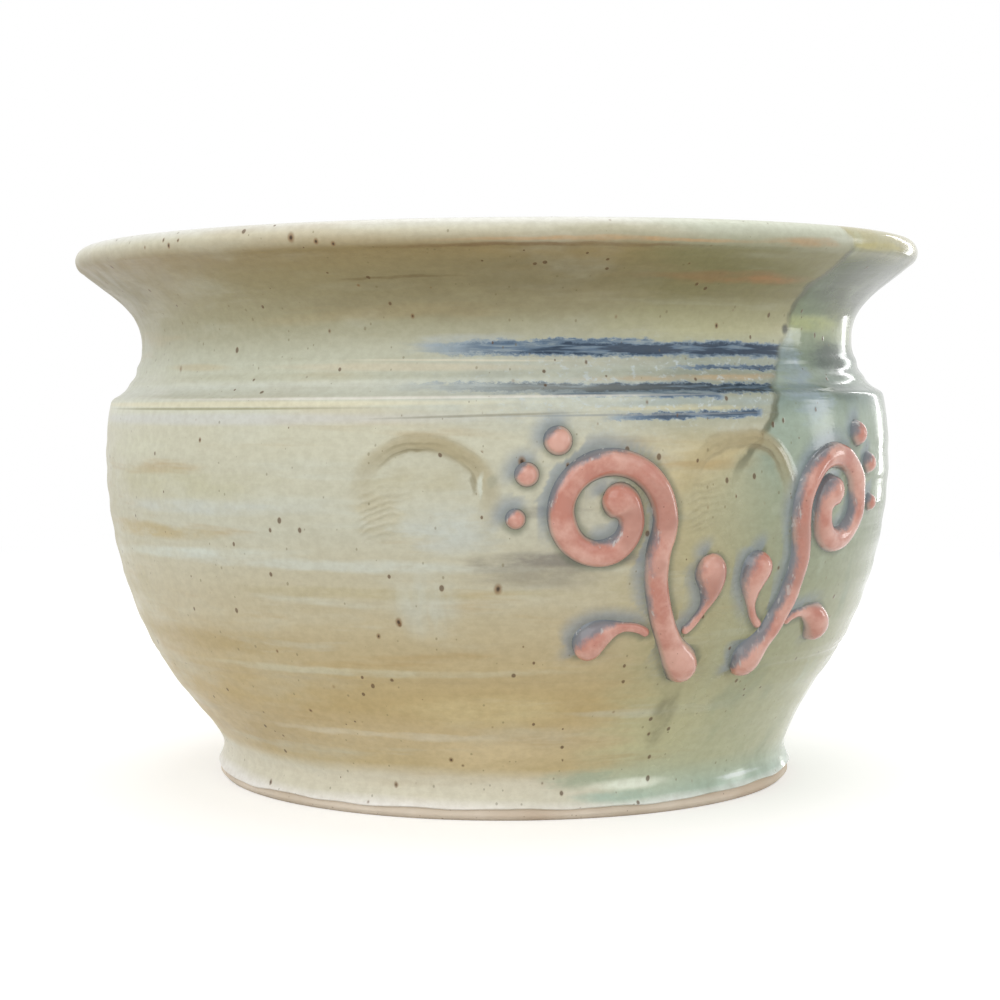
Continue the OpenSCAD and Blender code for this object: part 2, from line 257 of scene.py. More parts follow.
# Shaping and finishing pieces
def drawLine(bm, points, outside=1.0, closed=False):
    # an outline in the plane through the front, tagged with the side of the wall that it follows
    side = bm.verts.layers.float.get("side") or bm.verts.layers.float.new("side")
    verts = []
    for p in points:
        vert = bm.verts.new((0, -p.x, p.y))
        vert[side] = outside
        verts.append(vert)
    for a, b in zip(verts, verts[1:] + (verts[:1] if closed else [])):
        bm.edges.new((a, b))
    return verts


def turnOnWheel(bm, zones):
    # spins the outline once round, with its own number of steps in each zone of degrees; short
    # slices are spun apart and joined, which is far quicker than one long spin
    profile = bpy.data.meshes.new("profile")
    bm.to_mesh(profile)
    bm.clear()
    for first, last, steps in zones:
        slices = math.ceil(steps / 13)
        for i in range(slices):
            start, end = round(steps * i / slices), round(steps * (i + 1) / slices)
            turn = math.radians(first + (last - first) * start / steps)
            part = bmesh.new()
            part.from_mesh(profile)
            bmesh.ops.rotate(part, verts=list(part.verts), cent=(0, 0, 0),
                             matrix=Matrix.Rotation(turn, 3, "Z"))
            bmesh.ops.spin(part, geom=list(part.verts) + list(part.edges), cent=(0, 0, 0), axis=(0, 0, 1),
                           angle=math.radians((last - first) * (end - start) / steps), steps=end - start,
                           use_duplicate=False)
            piece = bpy.data.meshes.new("slice")
            part.to_mesh(piece)
            part.free()
            bm.from_mesh(piece)
            bpy.data.meshes.remove(piece)
    bpy.data.meshes.remove(profile)
    bmesh.ops.remove_doubles(bm, verts=list(bm.verts), dist=1e-6)
    bmesh.ops.recalc_face_normals(bm, faces=list(bm.faces))


def makePiece(name, bm, replaced, material):
    for face in bm.faces:
        face.smooth = True
    for edge in bm.edges:
        if len(edge.link_faces) == 2 and edge.calc_face_angle() > math.radians(60):
            edge.smooth = False
    mesh = bpy.data.meshes.new(name)
    bm.to_mesh(mesh)
    bm.free()
    mesh.materials.append(material)
    piece = bpy.data.objects.new(name, mesh)
    bpy.context.scene.collection.objects.link(piece)
    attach(piece, "root")
    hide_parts(*replaced)
    print(name, "has", len(mesh.polygons), "faces")
    return piece


# Node helpers
def colour(code):
    # a linear colour from a hex code as a screen shows it
    parts = [int(code[i:i + 2], 16) / 255 for i in (0, 2, 4)]
    return [c / 12.92 if c <= 0.04045 else ((c + 0.055) / 1.055) ** 2.4 for c in parts] + [1.0]


def addNode(tree, kind, inputs=(), **settings):
    made = tree.nodes.new("ShaderNode" + kind)
    for key, value in settings.items():
        setattr(made, key, value)
    for key, value in dict(inputs).items():
        if isinstance(value, bpy.types.NodeSocket):
            tree.links.new(value, made.inputs[key])
        else:
            made.inputs[key].default_value = value
    return made


def sums(tree, operation, a, b=0.0, c=0.0):
    return addNode(tree, "Math", {0: a, 1: b, 2: c}, operation=operation).outputs[0]


def times(tree, a, b):
    return sums(tree, "MULTIPLY", a, b)


def timesPlus(tree, a, b, c):
    return sums(tree, "MULTIPLY_ADD", a, b, c)


def less(tree, a, b):
    return sums(tree, "SUBTRACT", a, b)


def fade(tree, value, low, high, start=0.0, end=1.0):
    inputs = {"Value": value, "From Min": low, "From Max": high, "To Min": start, "To Max": end}
    return addNode(tree, "MapRange", inputs, interpolation_type="SMOOTHSTEP").outputs[0]


def stripe(tree, value, centre, half):
    # 1 at the centre, 0 at half its width from it
    away = sums(tree, "ABSOLUTE", less(tree, value, centre))
    return fade(tree, away, 0.25 * half, half, 1.0, 0.0)


def blend(tree, factor, a, b, mode="MIX"):
    made = tree.nodes.new("ShaderNodeMix")
    made.data_type = "RGBA"
    made.blend_type = mode
    for index, value in ((0, factor), (6, a), (7, b)):
        if isinstance(value, bpy.types.NodeSocket):
            tree.links.new(value, made.inputs[index])
        else:
            made.inputs[index].default_value = colour(value) if isinstance(value, str) else value
    return made.outputs[2]


def cloud(tree, where, scale, detail=3.0, rough=0.55):
    # noise from 0 to 1; scale is one number, or one for each axis
    scales = scale if isinstance(scale, tuple) else (scale,) * 3
    stretched = addNode(tree, "Mapping", {"Vector": where, "Scale": scales}).outputs[0]
    inputs = {"Vector": stretched, "Scale": 1.0, "Detail": detail, "Roughness": rough}
    return addNode(tree, "TexNoise", inputs).outputs[0]


def sway(tree, where, scale, detail=3.0, rough=0.55):
    # noise from -0.5 to 0.5
    return less(tree, cloud(tree, where, scale, detail, rough), 0.5)


def ladder(tree, value, stops, top):
    # a run of colours by height
    made = addNode(tree, "ValToRGB", {"Fac": sums(tree, "DIVIDE", value, top)})
    steps = made.color_ramp.elements
    while len(steps) < len(stops):
        steps.new(1.0)
    for step, (level, code) in zip(steps, stops):
        step.position = level / top
        step.color = colour(code)
    return made.outputs[0]


def freckles(tree, where, scale, chance, size):
    # round specks in some of the cells of a random pattern, each of its own size
    near = addNode(tree, "TexVoronoi", {"Vector": where, "Scale": scale, "Randomness": 1.0})
    lots = addNode(tree, "SeparateColor", {"Color": near.outputs["Color"]})
    chosen = sums(tree, "LESS_THAN", lots.outputs[0], chance)
    reach = timesPlus(tree, lots.outputs[1], size, 0.35 * size)
    share = sums(tree, "DIVIDE", near.outputs["Distance"], reach)
    return times(tree, fade(tree, share, 0.55, 1.0, 1.0, 0.0), chosen)


def startMaterial(name):
    material = bpy.data.materials.new(name)
    material.use_nodes = True
    tree = material.node_tree
    where = addNode(tree, "TexCoord").outputs["Object"]
    return material, tree, tree.nodes["Principled BSDF"], where


def joinSurface(tree, shader, base, roughness, height, gloss=None):
    # height is in millimetres
    bump = addNode(tree, "Bump", {"Height": height, "Distance": 0.001, "Strength": 1.0})
    tree.links.new(base, shader.inputs["Base Color"])
    tree.links.new(roughness, shader.inputs["Roughness"])
    tree.links.new(bump.outputs[0], shader.inputs["Normal"])
    for key, value in (gloss or {}).items():
        shader.inputs[key].default_value = value


def wheelPlace(tree, where):
    # degrees right of the front, and the height with the pot's tilt taken out
    x, y, z = addNode(tree, "SeparateXYZ", {0: where}).outputs
    angle = sums(tree, "DEGREES", sums(tree, "ARCTAN2", x, times(tree, y, -1.0)))
    lift = times(tree, times(tree, x, thrown["tilt"]), fade(tree, z, 0.010, 0.030))
    return angle, less(tree, z, lift)


# Glazes and clay
outerGlaze = {
    "cream": (  # height in millimetres and tone, from the foot up
        (3, "f4f2ee"), (6, "dcd8c4"), (11, "ded8c4"), (14, "cab88c"), (22, "cebc94"), (30, "c0aa78"),
        (44, "beae88"), (76, "c2c0ac"), (102, "cccab4"), (107, "d4d6c4"), (118, "c2c4b0"),
    ),
    # neck: from 129 to 144 mm, under the flare, these tones are partly the glaze and partly painted shade
    "neck": (
        (118, "c2c4b0"), (129, "9e9878"), (144, "907e54"), (148, "d2ceb8"), (150, "dcdcd4"),
    ),
    # olive: its tones at 133 and 143 mm, under the flare, are partly the glaze and partly painted shade
    "olive": (
        (3, "ffffff"), (6, "bccab6"), (20, "c8c49a"), (40, "aca680"), (94, "c4b68c"), (104, "a8ac9a"),
        (116, "a0a89c"), (124, "bab894"), (133, "867f58"), (143, "847e54"), (149, "ced2c0"),
    ),
    "waves": 1.5,  # how far the bands rise and fall, in millimetres
    "ochre": "b49966",
    "milk": "ced2c6",
    "flecks": "c9d3d6",
    "brow": "a69872",
    # painted shadow: the dark line under the ledges of the pressed shells and along their flutes
    "ledgeShadow": "8a8060",
    "halo": "8491a0",  # above the slip
    "pooled": "666c58",  # round the slip
    "dust": "6e6038",
    "tint": ((0.95, 0.94, 0.915, 1), (1.07, 1.07, 1.065, 1)),  # of the grain
    "gloss": {"IOR": 1.45},
    # each patch: degrees, height, half width in degrees, half height, mm per degree, colour, strength
    # the broad dark patches on the flare at 132 to 138 mm (at -76, -6 and 3 degrees) are partly the glaze
    # and partly painted shade under the flare
    "patches": (
        (-57, 74.3, 18, 2.4, -0.02, "b6a474", 0.85), (-50, 69.0, 25, 1.7, 0.06, "ccd1c6", 0.9),
        (-24, 67.6, 32, 1.9, -0.03, "c9ccc0", 0.8), (-50, 46.0, 28, 3.8, 0.0, "b09a66", 0.6),
        (-14, 60.5, 26, 1.8, -0.02, "b3a880", 0.5), (-22, 40.2, 34, 1.3, 0.0, "cac4a8", 0.8),
        (-52, 22.0, 26, 9.0, 0.0, "ae9660", 0.55), (-20, 22.7, 26, 1.2, -0.03, "d6cbb0", 0.9),
        (-2, 17.5, 13, 5.0, 0.0, "dccaa2", 0.7), (-3, 30.0, 15, 5.0, 0.0, "d6c698", 0.75),
        (-7.0, 76.0, 6.0, 7.0, 0.0, "c3cac6", 0.6), (-15, 81.0, 4, 7.0, 0.0, "c0b694", 0.5),
        (-9.5, 88.5, 6.5, 4.0, 0.0, "b6ae8c", 0.5), (4, 80.5, 6, 1.7, -0.05, "8d8a80", 0.75),
        (8, 68.9, 13, 2.2, -0.03, "817d76", 0.85), (4, 66.0, 9, 6.0, 0.0, "8d8779", 0.6),
        (-60, 96.0, 14, 4.0, 0.0, "cfcfb6", 0.5), (-50, 86.5, 22, 5.5, 0.0, "bbb792", 0.45),
        (-44, 81.0, 22, 2.2, 0.0, "c3c8c2", 0.6), (22, 105.0, 13, 0.7, -0.02, "ddd2a4", 0.7),
        (6, 110.0, 26, 13.0, 0.0, "a9b4b4", 0.4), (-5, 121.6, 9, 2.2, 0.0, "b7c1c8", 0.6),
        (28, 112.5, 18, 1.0, 0.0, "c3ab86", 0.75), (28, 106.3, 16, 1.4, 0.0, "a3b0ae", 0.6),
        (3, 137.5, 24, 5.0, 0.0, "7f7453", 0.45), (-12, 137.2, 10, 0.45, 0.015, "73603c", 0.7),
        (32, 137.2, 17, 1.5, 0.0, "967750", 0.65), (38, 136.6, 8, 1.1, 0.0, "ad7f52", 0.6),
        (14, 147.2, 9, 2.4, 0.0, "a09b7c", 0.5), (-76, 138.0, 28, 9.5, 0.0, "6f6536", 0.65),
        (-84, 62.0, 32, 46.0, 0.0, "a89d6c", 0.5), (5, 143.9, 22, 0.6, 0.0, "7a5f3c", 0.7),
        (14, 145.3, 22, 0.7, 0.0, "c69a6a", 0.6), (-6, 132.5, 28, 6.5, 0.0, "867b5a", 0.5),
        (40, 145.5, 8, 1.3, 0.0, "bb8a58", 0.5), (13, 10.2, 7, 3.0, 0.0, "a9b79f", 0.75),
        (20, 5.4, 9, 1.8, 0.0, "9fbcb0", 0.6),
    ),
    # the dark patch at 70 degrees and 137 mm is partly the sage glaze and partly painted shade under the
    # flare
    "dipPatches": (
        # painted reflection: the pale blue patch at 46 degrees and 112 mm on the next line, of a window in
        # the glossy dip
        (46, 112.0, 5.0, 13.0, 0.0, "93a5b0", 0.85), (60, 117.0, 8, 6.5, 0.0, "3f4f42", 0.9),
        (55, 109.0, 6, 4.0, 0.0, "5a6d62", 0.8), (50, 90.0, 8, 12.0, 0.0, "78887a", 0.4),
        # painted reflection: the yellow-green patch at 54 degrees and 126.6 mm on the next line
        (70, 137.0, 30, 10.5, 0.0, "2e3a0b", 0.85), (54, 126.6, 12, 2.8, 0.0, "b7bd82", 0.7),
        (84, 82.0, 26, 46.0, 0.0, "5e7038", 0.55), (58, 146.0, 9, 1.2, 0.0, "c7bb78", 0.6),
        # painted reflection: a white window glint in the pooled glaze at the foot
        (50, 6.6, 9, 0.9, 0.0, "e2ecec", 0.7),
    ),
    "placed": (  # patches that keep their outline
        (-30, 110.4, 58, 2.6, 0.0, "d3d8d0", 0.55), (-13, 115.7, 23, 1.25, -0.023, "cdc4ab", 0.65),
        (-49, 116.5, 9, 1.2, -0.028, "c3b898", 0.6), (-6, 117.2, 17, 0.35, -0.03, "dcd7c2", 0.7),
        # the cream bar at 107 mm is partly the ridge's glaze and partly painted highlight; the white line
        # at 108.3 mm on the next line is a painted highlight along the shoulder ridge
        (-42, 107.0, 52, 0.9, 0.0, "ded8ba", 0.75), (-42, 103.3, 48, 1.9, 0.0, "ccced0", 0.5),
        (-12, 108.3, 44, 0.45, 0.0, "ebe9e0", 0.8), (-44, 105.9, 30, 0.42, 0.0, "9d9a78", 0.8),
        (-3, 103.8, 15, 0.4, 0.04, "94917f", 0.7), (18, 103.6, 22, 0.35, 0.0, "8f9598", 0.6),
        # the first patch on the next line is a painted reflection of a window in the pooled glaze at the
        # foot
        (24, 8.4, 8.5, 1.8, 0.02, "eef4e4", 0.95), (-2.6, 87.0, 0.55, 3.6, 0.0, "cfd2c2", 0.9),
        (-3.6, 87.4, 0.5, 3.0, 0.0, "948d72", 0.7), (-1.0, 88.0, 0.9, 2.0, 0.0, "9c9c88", 0.6),
    ),
    "runs": (  # threads of glaze run straight down: dark under the slip, pale under the left shell
        (26.5, 27.0, 2.6, 10.5, 0.0, "7d7757", 0.75), (-10.0, 58.0, 5.0, 10.0, 0.0, "c6cabf", 0.5),
    ),
    "cobaltPale": "8d9eac",
    "cobaltMid": "566e86",
    "cobaltDeep": "2b3f54",
    "streaks": (  # first and last degree, height and half height at both, strength
        (-19, 50, 120.4, 119.0, 1.5, 1.8, 1.0),
        (-8, 22, 121.4, 121.0, 0.6, 1.2, 0.7),
        (20, 48, 115.0, 114.7, 0.35, 0.6, 0.8),
        (-20, 48, 110.9, 109.6, 1.0, 1.1, 1.0),
        (-6, 30, 109.4, 108.2, 0.4, 1.0, 0.7),
        (10, 36, 102.4, 103.8, 0.5, 1.0, 0.85),
    ),
    "rust": "7d5524",
    "iron": "33220f",
    "spots": (  # degrees, height and radius of the large iron spots, in millimetres
        (3.0, 92.6, 0.8), (0.0, 61.9, 0.8), (-24.0, 146.8, 0.75), (-13.3, 53.5, 0.7), (-16.3, 50.0, 0.45),
        (8.6, 91.5, 0.4), (-53.0, 116.0, 0.6), (-33.0, 44.5, 0.35), (-25.0, 35.5, 0.5),
        (-18.0, 135.2, 0.4), (-9.0, 16.0, 0.5), (-42.0, 98.0, 0.4), (-20.0, 8.6, 0.5),
        (-43.8, 148.0, 0.35), (-42.7, 146.5, 0.45), (-41.0, 147.8, 0.35), (-20.9, 145.4, 0.5),
        (-18.8, 144.8, 0.5), (-11.4, 128.0, 0.4), (-47.5, 146.5, 0.3), (32.7, 125.3, 0.45),
        (-31.0, 28.4, 0.45), (-22.3, 25.8, 0.4), (18.0, 28.4, 0.4), (-49.7, 4.8, 0.5),
    ),
}
sageDip = {
    "middle": 112,  # direction of the dip's middle, in degrees right of the front
    "edge": (  # height in millimetres and the direction where the dip starts
        (0, 30), (30, 33), (60, 33), (83, 30.8), (93, 33.3), (96, 34.3), (101, 37.5),
        (107, 38.8), (113, 41.6), (119, 44.5), (125, 46.9), (134, 47.3), (141, 49), (150, 47),
    ),
    # sage: its tones at 134 and 141 mm, under the flare, are partly the glaze and partly painted shade
    "sage": (
        (3, "ffffff"), (6, "b4c8b8"), (14, "bcbe9c"), (37, "a4a480"), (68, "929a7e"), (102, "9eae9e"),
        (107, "80928a"), (112, "a2b2a4"), (118, "6e8274"), (124, "a8b08c"), (134, "4b5720"),
        (141, "48551c"), (147, "b8b28a"),
    ),
    "pool": "7d8d72",
    "pale": "b4bfa8",
    "line": "5b5e44",
    "knot": "3d4034",
    "knotPlace": (46.2, 124.8, 0.9, 1.6),  # degrees, height, half width, half height
}
glazeNoise = {  # how fine each pattern is, for each metre: along x, y and z, or one number for all
    "slowWave": (8, 8, 26),
    "fineWave": (26, 26, 150),
    "patchEdge": (60, 60, 260),
    "torn": (75, 75, 210),
    "mottle": (22, 22, 70),
    "runs": (12, 12, 115),
    "threads": (240, 240, 14),
    "flecks": (520, 520, 760),
    "feather": (420, 420, 800),
    "drift": 90,
    "blueThreads": (70, 70, 900),
    "jitter": 150,
    "drips": (44, 44, 20),
    "grain": (430, 430, 560),
    "satin": 130,
    "ripple": (30, 30, 420),
    "peel": 300,
}
glazeTop = 152  # millimetres, where the runs of colour by height end


def wanderedLevel(tree, where, level):
    # the height in millimetres, drawn up and down in slow waves below the shoulder
    slow = sway(tree, where, glazeNoise["slowWave"], 2)
    fine = sway(tree, where, glazeNoise["fineWave"], 3)
    reach = fade(tree, level, 97.0, 103.0, outerGlaze["waves"], 0.25)
    moved = timesPlus(tree, slow, times(tree, reach, 3.2), level)
    return timesPlus(tree, fine, times(tree, reach, 1.6), moved)


def twoLadders(tree, value, low, high, joint):
    return blend(tree, fade(tree, value, joint - 0.05, joint + 0.05), ladder(tree, value, low, glazeTop),
                 ladder(tree, value, high, glazeTop))


def ellipse(tree, angle, level, turn, height, halfTurn, halfHeight, slope=0.0):
    # 1 in the middle of a long patch of glaze, 0 outside
    across = less(tree, angle, turn)
    up = less(tree, less(tree, level, times(tree, across, slope)), height)
    u, v = sums(tree, "DIVIDE", across, halfTurn), sums(tree, "DIVIDE", up, halfHeight)
    away = sums(tree, "SQRT", timesPlus(tree, u, u, times(tree, v, v)))
    return fade(tree, away, 0.35, 1.15, 1.0, 0.0)


def startGroup(name, numbers, others):
    # a node group with a colour going in and out, so that a small tree is laid many times
    group = bpy.data.node_groups.new(name, "ShaderNodeTree")
    group.interface.new_socket("Base", in_out="INPUT", socket_type="NodeSocketColor")
    for socket in numbers:
        group.interface.new_socket(socket, in_out="INPUT", socket_type="NodeSocketFloat")
    for socket, kind in others:
        group.interface.new_socket(socket, in_out="INPUT", socket_type=kind)
    group.interface.new_socket("Result", in_out="OUTPUT", socket_type="NodeSocketColor")
    return group, group.nodes.new("NodeGroupInput").outputs


def endGroup(group, result):
    end = group.nodes.new("NodeGroupOutput")
    group.links.new(result, end.inputs["Result"])
    return group


def patchGroup():
    numbers = ("Angle", "Level", "Torn", "Turn", "Height", "Half Turn", "Half Height", "Slope",
               "Strength")
    group, given = startGroup("glaze_patch", numbers, (("Colour", "NodeSocketColor"),))
    mask = ellipse(group, given["Angle"], given["Level"], given["Turn"], given["Height"],
                   given["Half Turn"], given["Half Height"], given["Slope"])
    mask = times(group, mask, times(group, given["Torn"], given["Strength"]))
    return endGroup(group, blend(group, mask, given["Base"], given["Colour"]))


def spotGroup():
    # an iron spot with a rusty rim
    places = (("Where", "NodeSocketVector"), ("Centre", "NodeSocketVector"))
    group, given = startGroup("iron_spot", ("Radius",), places)
    both = {0: given["Where"], 1: given["Centre"]}
    away = addNode(group, "VectorMath", both, operation="DISTANCE").outputs["Value"]
    share = sums(group, "DIVIDE", away, given["Radius"])
    base = blend(group, fade(group, share, 0.6, 1.7, 0.7, 0.0), given["Base"], outerGlaze["rust"])
    return endGroup(group, blend(group, fade(group, share, 0.3, 0.8, 0.9, 0.0), base, outerGlaze["iron"]))


def layPatches(tree, group, base, angle, level, patches, torn=1.0):
    for *outline, code, strength in patches:
        inputs = (base, angle, level, torn, *outline, strength, colour(code))
        base = addNode(tree, "Group", enumerate(inputs), node_tree=group).outputs["Result"]
    return base


def shellMarks(tree, where, angle, level):
    # fine ledges over the pressed shells and short flutes at their left: height in mm, a painted shadow
    # line under the ledges and on the flutes, brow
    left, right = presses["turns"]
    second = sums(tree, "GREATER_THAN", angle, (left + right) / 2)
    turn = timesPlus(tree, second, right - left, left)
    perDegree = math.radians(1) * pot["bellyRadius"] * 1000
    s = times(tree, less(tree, angle, turn), perDegree)
    t = sums(tree, "DIVIDE", less(tree, level, presses["height"] * 1000), presses["squat"])
    wobble = sway(tree, where, 170, 3)
    rho = sums(tree, "SQRT", timesPlus(tree, s, s, times(tree, t, t)))
    slow = sway(tree, where, 55, 2)
    broken = fade(tree, cloud(tree, where, (90, 90, 60), 3), 0.36, 0.58, 0.15, 1.0)
    rho = timesPlus(tree, wobble, 2.0, timesPlus(tree, slow, 5.0, rho))
    turned = less(tree, sums(tree, "ARCTAN2", t, s), math.radians(presses["lit"] + 8))
    sharp = timesPlus(tree, sums(tree, "COSINE", turned), 0.5, 0.5)
    top = times(tree, sums(tree, "POWER", sharp, 4.0), broken)
    reach = presses["reach"] * 1000
    ledges, line = 0.0, 0.0
    for k, step in enumerate(presses["ledges"]):
        lip = reach + step
        saw = times(tree, fade(tree, rho, lip - 0.4, lip), fade(tree, rho, lip + 1.5, lip + 0.1))
        ledges = timesPlus(tree, saw, 1 - 0.25 * k, ledges)
        # painted shadow line just inside each ledge, on its sharp side
        line = sums(tree, "MAXIMUM", line, times(tree, stripe(tree, rho, lip - 0.4, 0.7), 1 - 0.35 * k))
    ledges = times(tree, times(tree, ledges, top), presses["ledgeRise"])
    line = times(tree, line, top)
    comb = timesPlus(tree, slow, 6.0, timesPlus(tree, wobble, 3.0, t))
    comb = timesPlus(tree, times(tree, s, s), 0.014, comb)
    comb = sums(tree, "SINE", times(tree, comb, 2 * math.pi / presses["fluteStep"]))
    zone = times(tree, fade(tree, s, -17.0, -14.5), fade(tree, s, -1.0, -11.0))
    zone = times(tree, zone, times(tree, fade(tree, t, -13.0, -9.0), fade(tree, t, 8.0, 2.0)))
    comb = times(tree, comb, times(tree, zone, broken))
    brow = times(tree, stripe(tree, rho, reach + 1.4, 3.9), sums(tree, "POWER", sharp, 2.0))
    height = timesPlus(tree, comb, presses["fluteCut"], ledges)
    return height, sums(tree, "MAXIMUM", line, times(tree, comb, 0.32)), brow


def cobaltStreaks(tree, where, angle, level):
    # blue drawn out along the neck in feathery lines
    feather = sway(tree, where, glazeNoise["feather"], 5, 0.8)
    drift = sway(tree, where, glazeNoise["drift"], 3)
    ragged = timesPlus(tree, feather, 3.6, timesPlus(tree, drift, 1.8, level))
    blue = 0.0
    for first, last, low, high, thin, wide, strength in outerGlaze["streaks"]:
        ends = {"Value": angle, "From Min": first, "From Max": last}
        along = addNode(tree, "MapRange", ends).outputs[0]
        middle = timesPlus(tree, along, high - low, low)
        half = timesPlus(tree, along, wide - thin, thin)
        off = sums(tree, "DIVIDE", sums(tree, "ABSOLUTE", less(tree, ragged, middle)), half)
        bar = times(tree, fade(tree, off, 0.5, 1.5, 1.0, 0.0), fade(tree, along, 0.0, 0.42))
        bar = times(tree, bar, fade(tree, angle, last + 0.5, last - 1.5))
        blue = sums(tree, "MAXIMUM", blue, times(tree, bar, strength))
    threads = cloud(tree, where, glazeNoise["blueThreads"], 4)
    return times(tree, blue, fade(tree, threads, 0.34, 0.56, 0.5, 1.0))


def outerGlazeMaterial():
    material, tree, shader, where = startMaterial("outer_glaze")
    angle, level = wheelPlace(tree, where)
    level = times(tree, level, 1000.0)
    drawn = wanderedLevel(tree, where, level)
    patchNoise = sway(tree, where, glazeNoise["patchEdge"], 4, 0.6)

    # cream left and behind, olive towards the dip
    cream = twoLadders(tree, drawn, outerGlaze["cream"], outerGlaze["neck"], 118.0)
    olive = ladder(tree, drawn, outerGlaze["olive"], glazeTop)
    side = timesPlus(tree, patchNoise, 18.0, sums(tree, "ABSOLUTE", less(tree, angle, sageDip["middle"])))
    base = blend(tree, fade(tree, side, 102.0, 86.0), cream, olive)
    mottled = cloud(tree, where, glazeNoise["mottle"], 4)
    base = blend(tree, fade(tree, mottled, 0.52, 0.72, 0.0, 0.25), base, outerGlaze["milk"])
    runs = cloud(tree, where, glazeNoise["runs"], 4, 0.6)
    body = times(tree, fade(tree, level, 104.0, 96.0, 0.35, 1.0), fade(tree, level, 9.0, 15.0, 0.2, 1.0))
    warm = times(tree, fade(tree, runs, 0.46, 0.30, 0.0, 0.6), body)
    base = blend(tree, warm, base, outerGlaze["ochre"])
    pale = times(tree, fade(tree, runs, 0.55, 0.70, 0.0, 0.4), body)
    base = blend(tree, pale, base, outerGlaze["milk"])
    swayed = timesPlus(tree, patchNoise, 2.4, level)
    swung = timesPlus(tree, patchNoise, 16.0, angle)
    torn = fade(tree, cloud(tree, where, glazeNoise["torn"], 5, 0.65), 0.34, 0.58, 0.45, 1.0)
    patch = patchGroup()
    base = layPatches(tree, patch, base, swung, swayed, outerGlaze["patches"], torn)
    threads = fade(tree, cloud(tree, where, glazeNoise["threads"], 3), 0.36, 0.60, 0.45, 1.0)
    base = layPatches(tree, patch, base, angle, level, outerGlaze["runs"], threads)

    flecks = cloud(tree, where, glazeNoise["flecks"], 4, 0.7)
    flecks = times(tree, fade(tree, flecks, 0.54, 0.66, 0.0, 0.75),
                  ellipse(tree, angle, level, 22, 111, 34, 13))
    base = blend(tree, flecks, base, outerGlaze["flecks"])
    blue = cobaltStreaks(tree, where, angle, level)
    base = blend(tree, fade(tree, blue, 0.02, 0.35, 0.0, 0.85), base, outerGlaze["cobaltPale"])
    base = blend(tree, fade(tree, blue, 0.30, 0.65, 0.0, 0.9), base, outerGlaze["cobaltMid"])
    base = blend(tree, fade(tree, blue, 0.62, 0.95, 0.0, 1.0), base, outerGlaze["cobaltDeep"])

    # the sage dip: everything inside its edge, measured from the direction of its middle
    wrapped = sums(tree, "WRAP", less(tree, angle, sageDip["middle"]), 180, -180)
    edge = addNode(tree, "FloatCurve", {"Value": sums(tree, "DIVIDE", level, glazeTop)})
    points = edge.mapping.curves[0].points
    while len(points) < len(sageDip["edge"]):
        points.new(0.5, 0.5)
    for point, (height, start) in zip(points, sageDip["edge"]):
        point.location = (height / glazeTop, start / 90)
    edge.mapping.update()
    start = times(tree, edge.outputs[0], 90.0)
    past = less(tree, sageDip["middle"], sums(tree, "ADD", sums(tree, "ABSOLUTE", wrapped), start))
    jitter = sway(tree, where, glazeNoise["jitter"], 4)
    past = timesPlus(tree, jitter, 3.0, past)
    soft = fade(tree, level, 80.0, 99.0, 15.0, 0.6)
    dip = fade(tree, sums(tree, "DIVIDE", past, soft), -1.0, 1.0)
    sage = ladder(tree, drawn, sageDip["sage"], glazeTop)
    drips = cloud(tree, where, glazeNoise["drips"], 3)
    sage = blend(tree, fade(tree, drips, 0.52, 0.70, 0.0, 0.6), sage, sageDip["pool"])
    sage = blend(tree, fade(tree, drips, 0.46, 0.30, 0.0, 0.5), sage, sageDip["pale"])
    sage = layPatches(tree, patch, sage, swung, swayed, outerGlaze["dipPatches"], torn)
    base = blend(tree, dip, base, sage)
    line = times(tree, stripe(tree, past, 0.0, 1.1), fade(tree, level, 84.0, 96.0))
    faint = fade(tree, level, 112.0, 104.0, 0.35, 1.0)
    faint = sums(tree, "MAXIMUM", faint, fade(tree, level, 123.0, 131.0))
    line = times(tree, line, times(tree, faint, fade(tree, level, 146.5, 143.0)))
    base = blend(tree, times(tree, line, 0.8), base, sageDip["line"])
    knot = ellipse(tree, timesPlus(tree, jitter, 2.0, angle), level, *sageDip["knotPlace"])
    base = blend(tree, times(tree, knot, 0.85), base, sageDip["knot"])

    marks, ledgeShadow, brow = shellMarks(tree, where, angle, level)
    base = blend(tree, times(tree, brow, 0.8), base, outerGlaze["brow"])
    # the ledge lines darken the glaze as painted shadow under the shell's ledges and along its flutes
    base = blend(tree, times(tree, ledgeShadow, 0.7), base, outerGlaze["ledgeShadow"])
    turned = timesPlus(tree, jitter, 2.4, angle)
    base = layPatches(tree, patch, base, turned, level, outerGlaze["placed"])

    # slip: a blue-grey halo above it and a dark pooled edge round it
    near = addNode(tree, "Attribute", attribute_name="slipNear").outputs["Fac"]
    above = addNode(tree, "Attribute", attribute_name="slipAbove").outputs["Fac"]
    near = timesPlus(tree, jitter, 0.35, near)
    halo = times(tree, fade(tree, near, 0.05, 0.85, 0.0, 0.65), above)
    base = blend(tree, halo, base, outerGlaze["halo"])
    pooled = less(tree, 1.0, times(tree, above, 0.6))
    dark = times(tree, fade(tree, near, 0.62, 0.98, 0.0, 0.6), pooled)
    base = blend(tree, dark, base, outerGlaze["pooled"])

